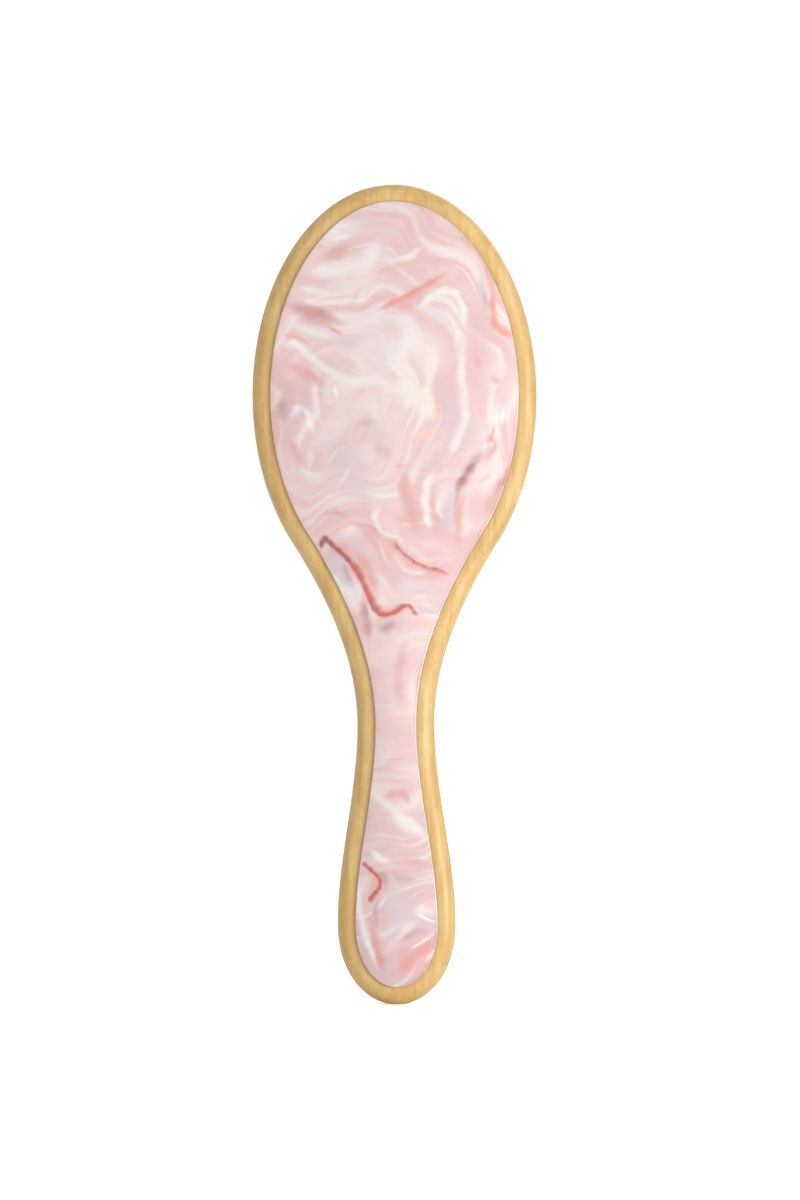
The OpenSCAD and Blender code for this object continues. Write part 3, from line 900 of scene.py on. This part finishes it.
# bare rubber outside the pins, and how far behind the skin their lines meet
FIELD_MARGIN_X, FIELD_MARGIN_Z = 0.0044, 0.0065
FAN_REACH_X, FAN_REACH_Z = 0.110, 0.220
# the skin: grid steps, collars round the pins, the sunk patch under each shaft, and the vent
SKIN_GRID = (34, 50)
SKIN_FINER = 5
COLLAR_AT, COLLAR_SPREAD = 0.0003, 0.0006
PATCH_INSET, PATCH_DEPTH = 0.0002, 0.0006
LIP_RISE, LIP_AT, LIP_SPREAD = 0.0002, 0.0014, 0.0005
VENT_DEPTH, VENT_RADIUS = 0.0016, 0.0008


def head_z(body):
    """Height of the middle of the head's oval, from the origin."""
    return BODY_LOW.z + body.brush_length - body.head_height / 2


def build_bamboo_body(scene):
    """The bamboo body, with its recess at the back and its cushion seat in front."""
    body, sheet, cushion = scene.brush_body, scene.brush_sheet, scene.brush_cushion
    outline = Outline(body)
    back_y, front_y = BODY_LOW.y, BODY_HIGH.y
    recess = sheet.border - WALL_GAP / 2
    draft = Draft()
    levels = [(recess, RECESS_Y, 0), (recess, back_y, 0)]
    for inset, drop in reversed(list(quarter(BACK_STEPS, body.back_radius))):
        levels.append((inset, back_y + drop, 0))
    for inset, drop in quarter(FRONT_STEPS, body.front_radius):
        levels.append((inset, front_y - drop, 1))
    levels.append((body.front_radius + ARRIS, front_y, 1))
    floor, front = draft.stack([outline.ring(*level) for level in levels])
    draft.strips(floor)
    flat_s = outline.DIP_END_AT + FLAT_MARGIN
    flat_from = next(i for i, (_, s) in enumerate(outline.right) if s > flat_s)
    draft.strips(front, up_to=flat_from)

    middle = head_z(body)
    a, b = cushion.opening_width / 2, cushion.opening_height / 2
    seat = [
        (ARRIS, front_y),
        (ARRIS * 0.3, front_y - ARRIS * 0.3),
        (0, front_y - ARRIS),
        (0, GROOVE_TOP),
        (GROOVE_REACH, GROOVE_TOP),
        (GROOVE_REACH, GROOVE_FLOOR),
        (-POCKET_EASE, GROOVE_FLOOR),
        (-POCKET_EASE, POCKET_Y),
    ]
    mouth, pocket = draft.stack([oval(a + out, b + out, y, middle) for out, y in seat])
    draft.fan(pocket, (0, POCKET_Y, middle))
    n = len(front)
    draft.fill_around(front[flat_from : n - flat_from], mouth)
    wood = bamboo_material("Waxed bamboo", body, 0.6, edge_wear=0.35)
    made = draft.piece("Bamboo_Body", wood)
    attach(made, "brush_body")
    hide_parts("bamboo_body")


def build_marbled_sheet(scene):
    """The marbled sheet, with a polished edge, standing proud of the bamboo."""
    body, sheet = scene.brush_body, scene.brush_sheet
    outline = Outline(body)
    outer_y = SHEET_LOW.y
    levels = [(sheet.border, SHEET_HIGH.y, 0)]
    for inset, drop in reversed(list(quarter(BACK_STEPS, sheet.edge_radius))):
        levels.append((sheet.border + inset, outer_y + drop, 0))
    levels.append((sheet.border + sheet.edge_radius + ARRIS, outer_y, 0))
    draft = Draft()
    under, face = draft.stack([outline.ring(*level) for level in levels])
    draft.strips(under)
    draft.strips(face)
    made = draft.piece("Marbled_Sheet", marbled_material(sheet))
    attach(made, "brush_body")
    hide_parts("back_inlay")


def row_x(row, pins):
    return (row - (ROWS + 1) / 2) * pins.row_pitch


def pin_roots(row, pins, cushion):
    """(x, height above the head's middle) of each pin of a row."""
    x = row_x(row, pins)
    start = 0.5 if (row - (ROWS + 1) // 2) % 2 else 0
    field_a = cushion.opening_width / 2 - FIELD_MARGIN_X
    field_b = cushion.opening_height / 2 - FIELD_MARGIN_Z
    reach = field_b * math.sqrt(1 - (x / field_a) ** 2)
    most = math.floor(reach / pins.pin_pitch - start)
    count = int(2 * most + 2 * start) + 1
    return [(x, (k - most - start) * pins.pin_pitch) for k in range(count)]


def skin_height(x, z, cushion):
    """Depth y of the skin's outside over the point (x, z) of the cushion."""
    a = cushion.opening_width / 2 - WALL_GAP
    b = cushion.opening_height / 2 - WALL_GAP
    under = np.maximum(1 - (x / a) ** 2 - (z / b) ** 2, 0)
    return SHOULDER_Y + cushion.dome_rise * np.sqrt(under)


def disc_grid(across, up):
    """A grid of points over the unit disc, and the numbers of the points round its rim."""
    v, u = np.meshgrid(np.linspace(-1, 1, up + 1), np.linspace(-1, 1, across + 1), indexing="ij")
    x, z = u * np.sqrt(1 - v * v / 2), v * np.sqrt(1 - u * u / 2)
    crowd = 1.3 - 0.3 * (x * x + z * z)
    number = np.arange((across + 1) * (up + 1)).reshape(up + 1, across + 1)
    rim = [*number[0, :-1], *number[:-1, -1], *number[-1, :0:-1], *number[:0:-1, 0]]
    faces = []
    for j in range(up):
        for i in range(across):
            faces.append((number[j, i], number[j, i + 1], number[j + 1, i + 1], number[j + 1, i]))
    return (x * crowd).ravel(), (z * crowd).ravel(), faces, [int(k) for k in rim]


def build_cushion_skin(scene):
    """The domed rubber skin, with a collar raised round each pin and a vent."""
    body, cushion, pins = scene.brush_body, scene.brush_cushion, scene.brush_pins
    middle = head_z(body)
    vent_at = Vector((0, SHOULDER_Y + cushion.dome_rise, middle - pins.pin_pitch / 2))
    a = cushion.opening_width / 2 - WALL_GAP
    b = cushion.opening_height / 2 - WALL_GAP
    ux, uz, faces, rim = disc_grid(*(steps * SKIN_FINER for steps in SKIN_GRID))
    x, z = ux * a, uz * b
    y = skin_height(x, z, cushion)
    pin_r = pins.pin_width / 2
    for row in range(1, ROWS + 1):
        for px, pz in pin_roots(row, pins, cushion):
            away = np.hypot(x - px, z - pz) - pin_r
            collar = cushion.collar_rise * np.exp(-(((away - COLLAR_AT) / COLLAR_SPREAD) ** 2))
            y += np.where(away > -PATCH_INSET, collar, -PATCH_DEPTH)
    from_vent = np.hypot(x, z + pins.pin_pitch / 2)
    y += LIP_RISE * np.exp(-(((from_vent - LIP_AT) / LIP_SPREAD) ** 2))
    y -= VENT_DEPTH * np.exp(-((from_vent / VENT_RADIUS) ** 6))
    draft = Draft()
    draft.loop(zip(x, y, z + middle))
    draft.faces.extend(faces)

    inner_a, inner_b = a - cushion.skin_thick, b - cushion.skin_thick
    rim_x, rim_z = ux[rim], uz[rim]
    flange = cushion.opening_width / 2 + GROOVE_REACH - FLANGE_EASE - a
    walls = [
        (0, GROOVE_TOP - FLANGE_GAP),
        (flange, GROOVE_TOP - FLANGE_GAP),
        (flange, GROOVE_FLOOR + FLANGE_GAP),
        (-cushion.skin_thick, GROOVE_FLOOR + FLANGE_GAP),
        (-cushion.skin_thick, SHOULDER_Y),
    ]
    outer = rim
    for out, level in walls:
        points = zip(rim_x * (a + out), [level] * len(rim), rim_z * (b + out) + middle)
        inner = draft.loop(points)
        draft.bridge(outer, inner)
        outer = inner
    # the inside of the dome is a coarser grid, so each point of its rim joins several
    ux, uz, faces, coarse = disc_grid(*SKIN_GRID)
    under = np.sqrt(np.maximum(1 - ux**2 - uz**2, 0))
    y = SHOULDER_Y + (cushion.dome_rise - cushion.skin_thick) * under
    first = draft.loop(zip(ux * inner_a, y, uz * inner_b + middle))[0]
    draft.faces.extend(tuple(int(k) + first for k in face) for face in faces)
    for k, point in enumerate(coarse):
        following = coarse[(k + 1) % len(coarse)] + first
        for i in range(k * SKIN_FINER, (k + 1) * SKIN_FINER):
            draft.faces.append((outer[i], outer[(i + 1) % len(outer)], point + first))
        draft.faces.append((outer[(k + 1) * SKIN_FINER % len(outer)], following, point + first))
    made = draft.piece("Cushion_Skin", rubber_material(cushion, vent_at))
    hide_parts("cushion_skin")
    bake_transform(made)


# (distance along the pin from the skin, radius) round the foot, and where the shaft begins
PIN_FOOT = ((-0.0040, 0.0), (-0.0040, 0.0022), (-0.0038, 0.0024), (-0.0036, 0.0024), (-0.0034, 0.0024))
FOOT_TOP = 0.0026
# the hollow under the ball, and how far it flares, as shares
NECK_LENGTH = 0.52
NECK_FLARE = 0.28


def pin_profile(pins):
    """(distance along the pin from the skin, radius) from the foot's face to the ball's pole."""
    root_r, tip_r, ball_r = pins.pin_width / 2, pins.tip_width / 2, pins.ball_width / 2
    ball_at = pins.pin_length - ball_r
    profile = [*PIN_FOOT, (-FOOT_TOP, root_r), (0.0, root_r)]
    # a small hollow where the ball grows out of the shaft
    neck = ball_r * NECK_LENGTH
    flare = neck * NECK_FLARE
    leaves = math.asin(min(1.0, (tip_r + flare) / ball_r))
    shoulder_at = ball_at - ball_r * math.cos(leaves)
    for k in range(1, 7):
        t = k / 7
        profile.append((t * (shoulder_at - neck), root_r + t * (tip_r - root_r)))
    for k in range(5):
        t = k / 4
        profile.append((shoulder_at - neck * (1 - t), tip_r + flare * t * t))
    for k in range(1, 10):
        a = leaves + (math.pi - leaves) * k / 10
        profile.append((ball_at - ball_r * math.cos(a), ball_r * math.sin(a)))
    profile.append((pins.pin_length, 0.0))
    return profile


def build_pin_rows(scene):
    """Seven rows of turned pins, each row riding on its own body."""
    body, cushion, pins = scene.brush_body, scene.brush_cushion, scene.brush_pins
    wood = bamboo_material("Turned bamboo", body, 0.55)
    middle = head_z(body)
    profile = pin_profile(pins)
    circle = [2 * math.pi * i / pins.sides for i in range(pins.sides)]
    for row in range(1, ROWS + 1):
        draft = Draft()
        for x, z in pin_roots(row, pins, cushion):
            root = Vector((x, float(skin_height(x, z, cushion)), z + middle))
            lean = Vector((x / FAN_REACH_X, 1, z / FAN_REACH_Z)).normalized()
            side = lean.cross(Vector((0, 0, 1))).normalized()
            up = side.cross(lean)
            rings = []
            for along, radius in profile[1:-1]:
                centre = root + lean * along
                rings.append([centre + radius * (math.cos(a) * side + math.sin(a) * up) for a in circle])
            foot, pole = draft.stack(rings)
            draft.fan(foot, root + lean * profile[0][0])
            draft.fan(pole, root + lean * profile[-1][0])
        made = draft.piece(f"Pins_Row_{row}", wood, sharp_over=50)
        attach(made, f"pins_{row}")
        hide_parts(f"pin_row_{row}")


def finish_node(node, finish):
    """Gives a CAD node its finish."""
    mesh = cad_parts[node].data
    mesh.materials.clear()
    mesh.materials.append(finish)


# ---------------------------------------------------------------- stage


AIM = Vector((0, 0, 0.07))
WHITE = (1, 1, 1)
# name, place, what it points at, size, watts, tint
LIGHTS = (
    ("Key", (1.25, -1.05, 0.35), AIM, (0.9, 0.9), 14, (1.0, 0.985, 0.96)),
    ("Fill", (-1.1, -1.3, 0.7), AIM, (1.0, 1.0), 4, WHITE),
    ("Far_Side", (0.3, 1.4, 0.9), AIM, (0.9, 0.9), 6, WHITE),
    ("Edge", (0.235, -0.2, -0.02), Vector((0.03, 0, 0.09)), (0.05, 0.025), 0.12, WHITE),
)
FLOOR_RADII = (0.3, 40.0)
FLOOR_ROUND = 96
# brightness as it lights the brush, and as the camera sees it
FLOOR_GLOW = (0.02, 0.6)
SKY_GLOW = (0.5, 1.05)
SENSOR_WIDTH = 36
CLIP = (0.01, 50)


def area_light(name, place, target, size, power, tint):
    lamp = bpy.data.lights.new(name, "AREA")
    lamp.shape = "RECTANGLE"
    lamp.size, lamp.size_y = size
    lamp.energy = power
    lamp.color = tint
    made = bpy.data.objects.new(name, lamp)
    made.location = place
    made.rotation_euler = (target - Vector(place)).to_track_quat("-Z", "Y").to_euler()
    made.visible_camera = False
    bpy.context.scene.collection.objects.link(made)


def seen_as(w, lit, seen):
    """lit, or seen where the camera looks straight at it."""
    camera = w.node("ShaderNodeLightPath").outputs["Is Camera Ray"]
    return w.math("MULTIPLY_ADD", camera, seen - lit, lit)


def build_stage(scene):
    """Pale floor, white surroundings, soft lights and the camera."""
    stage = scene.brush_stage
    angles = np.linspace(0, 2 * math.pi, FLOOR_ROUND + 1)[:-1]
    draft = Draft()
    near, _ = draft.stack(
        [(r * math.cos(a), r * math.sin(a), BODY_LOW.z) for a in angles] for r in FLOOR_RADII
    )
    draft.fan(near, (0, 0, BODY_LOW.z))
    pale, w, shader = material("Pale floor", Roughness=0.9, Specular_IOR_Level=0.1)
    grey = (0.92, 0.92, 0.92, 1)
    w.finish(shader, Base_Color=grey, Emission_Color=(*WHITE, 1), Emission_Strength=seen_as(w, *FLOOR_GLOW))
    draft.piece("Floor", pale)

    world = bpy.data.worlds.new("Studio")
    world.use_nodes = True
    scene.world = world
    world.node_tree.nodes.clear()
    w = Wiring(world.node_tree)
    sky = w.node("ShaderNodeBackground", {"Color": (*WHITE, 1), "Strength": seen_as(w, *SKY_GLOW)})
    surface = w.node("ShaderNodeOutputWorld")
    world.node_tree.links.new(sky.outputs[0], surface.inputs["Surface"])

    for light in LIGHTS:
        area_light(*light)

    lens = bpy.data.cameras.new("Camera")
    lens.lens = stage.lens
    lens.sensor_width = SENSOR_WIDTH
    lens.clip_start, lens.clip_end = CLIP
    camera = bpy.data.objects.new("Camera", lens)
    camera.location = (stage.centre[0], -stage.distance, stage.centre[1])
    camera.rotation_euler = (math.pi / 2, stage.roll, 0)
    scene.collection.objects.link(camera)
    scene.camera = camera
    scene.view_settings.view_transform = "Standard"


# ---------------------------------------------------------------- add-on


class HAIRBRUSH_OT_bamboo_body(bpy.types.Operator):
    """Build the bamboo body"""

    bl_idname = "hairbrush.bamboo_body"
    bl_label = "Bamboo Body"

    def execute(self, context):
        build_bamboo_body(context.scene)
        return {"FINISHED"}


class HAIRBRUSH_OT_marbled_sheet(bpy.types.Operator):
    """Build the marbled sheet and finish the film that bonds it"""

    bl_idname = "hairbrush.marbled_sheet"
    bl_label = "Marbled Sheet"

    def execute(self, context):
        build_marbled_sheet(context.scene)
        finish_node("inlay_adhesive", film_material(context.scene.brush_cushion))
        return {"FINISHED"}


class HAIRBRUSH_OT_cushion(bpy.types.Operator):
    """Build the rubber cushion and finish the canvas under it"""

    bl_idname = "hairbrush.cushion"
    bl_label = "Cushion"

    def execute(self, context):
        build_cushion_skin(context.scene)
        finish_node("cushion_canvas", canvas_material(context.scene.brush_cushion))
        return {"FINISHED"}


class HAIRBRUSH_OT_pin_rows(bpy.types.Operator):
    """Build the seven rows of pins"""

    bl_idname = "hairbrush.pin_rows"
    bl_label = "Pin Rows"

    def execute(self, context):
        build_pin_rows(context.scene)
        return {"FINISHED"}


class HAIRBRUSH_OT_stage(bpy.types.Operator):
    """Build the floor, lights and camera"""

    bl_idname = "hairbrush.stage"
    bl_label = "Stage"

    def execute(self, context):
        build_stage(context.scene)
        return {"FINISHED"}


class HAIRBRUSH_PT_panel(bpy.types.Panel):
    """The hairbrush's settings and the buttons that build it"""

    bl_label = "Hairbrush"
    bl_idname = "HAIRBRUSH_PT_panel"
    bl_space_type = "VIEW_3D"
    bl_region_type = "UI"
    bl_category = "Hairbrush"

    def draw(self, context):
        layout = self.layout
        for operator, group_name in STEPS:
            layout.operator(operator.bl_idname)
            settings = getattr(context.scene, group_name)
            column = layout.column(align=True)
            for name in settings.bl_rna.properties.keys():
                if name not in ("rna_type", "name"):
                    column.prop(settings, name)


SETTINGS = {
    "brush_body": BodySettings,
    "brush_sheet": SheetSettings,
    "brush_cushion": CushionSettings,
    "brush_pins": PinSettings,
    "brush_stage": StageSettings,
}
STEPS = (
    (HAIRBRUSH_OT_bamboo_body, "brush_body"),
    (HAIRBRUSH_OT_marbled_sheet, "brush_sheet"),
    (HAIRBRUSH_OT_cushion, "brush_cushion"),
    (HAIRBRUSH_OT_pin_rows, "brush_pins"),
    (HAIRBRUSH_OT_stage, "brush_stage"),
)
CLASSES = (*SETTINGS.values(), *(operator for operator, _ in STEPS), HAIRBRUSH_PT_panel)


def register():
    for cls in CLASSES:
        bpy.utils.register_class(cls)
    for name, settings in SETTINGS.items():
        setattr(bpy.types.Scene, name, PointerProperty(type=settings))


def unregister():
    for name in SETTINGS:
        delattr(bpy.types.Scene, name)
    for cls in reversed(CLASSES):
        bpy.utils.unregister_class(cls)


def main():
    register()
    bpy.ops.hairbrush.bamboo_body()
    bpy.ops.hairbrush.marbled_sheet()
    bpy.ops.hairbrush.cushion()
    bpy.ops.hairbrush.pin_rows()
    bpy.ops.hairbrush.stage()


if __name__ == "__main__":
    main()
